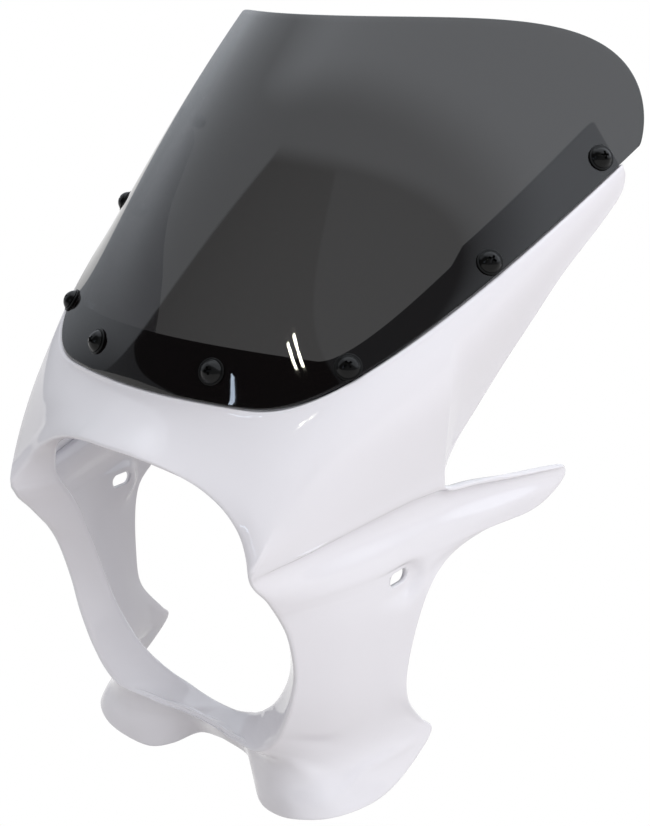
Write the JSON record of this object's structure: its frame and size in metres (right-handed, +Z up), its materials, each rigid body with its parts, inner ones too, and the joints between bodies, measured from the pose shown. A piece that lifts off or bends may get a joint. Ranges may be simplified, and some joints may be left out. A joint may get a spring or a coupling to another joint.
{
  "type": "headlight cowl",
  "caption": "Moulded motorbike headlight cowl with a lamp opening, two rising arms, side winglets and a smoked screen screwed on.",
  "frame": {"origin": "midway between the centres of the two side slots, level with both", "axes": "+X across to the right side, through the slots; +Y to the rear of the bike, so the nose faces -Y; +Z up"},
  "size_m": [0.326, 0.2567, 0.4325],
  "materials": {
    "white_shell": "smooth gloss white",
    "smoked_screen": "clear smoked sheet, polished",
    "black_band": "black masking film",
    "black_fastener": "black gloss",
    "black_rubber": "satin",
    "zinc": "plated"
  },
  "bodies": {
    "root": {"cowl_shell": "white_shell", "windscreen": "smoked_screen", "screen_band": "black_band", "screw_right_1": "black_fastener", "screw_right_2": "black_fastener", "screw_right_3": "black_fastener", "screw_right_4": "black_fastener", "screw_left_1": "black_fastener", "screw_left_2": "black_fastener", "screw_left_3": "black_fastener", "screw_left_4": "black_fastener", "washer_right_1": "black_rubber", "washer_right_2": "black_rubber", "washer_right_3": "black_rubber", "washer_right_4": "black_rubber", "washer_left_1": "black_rubber", "washer_left_2": "black_rubber", "washer_left_3": "black_rubber", "washer_left_4": "black_rubber", "nut_right_1": "zinc", "nut_right_2": "zinc", "nut_right_3": "zinc", "nut_right_4": "zinc", "nut_left_1": "zinc", "nut_left_2": "zinc", "nut_left_3": "zinc", "nut_left_4": "zinc"}
  },
  "joints": []
}
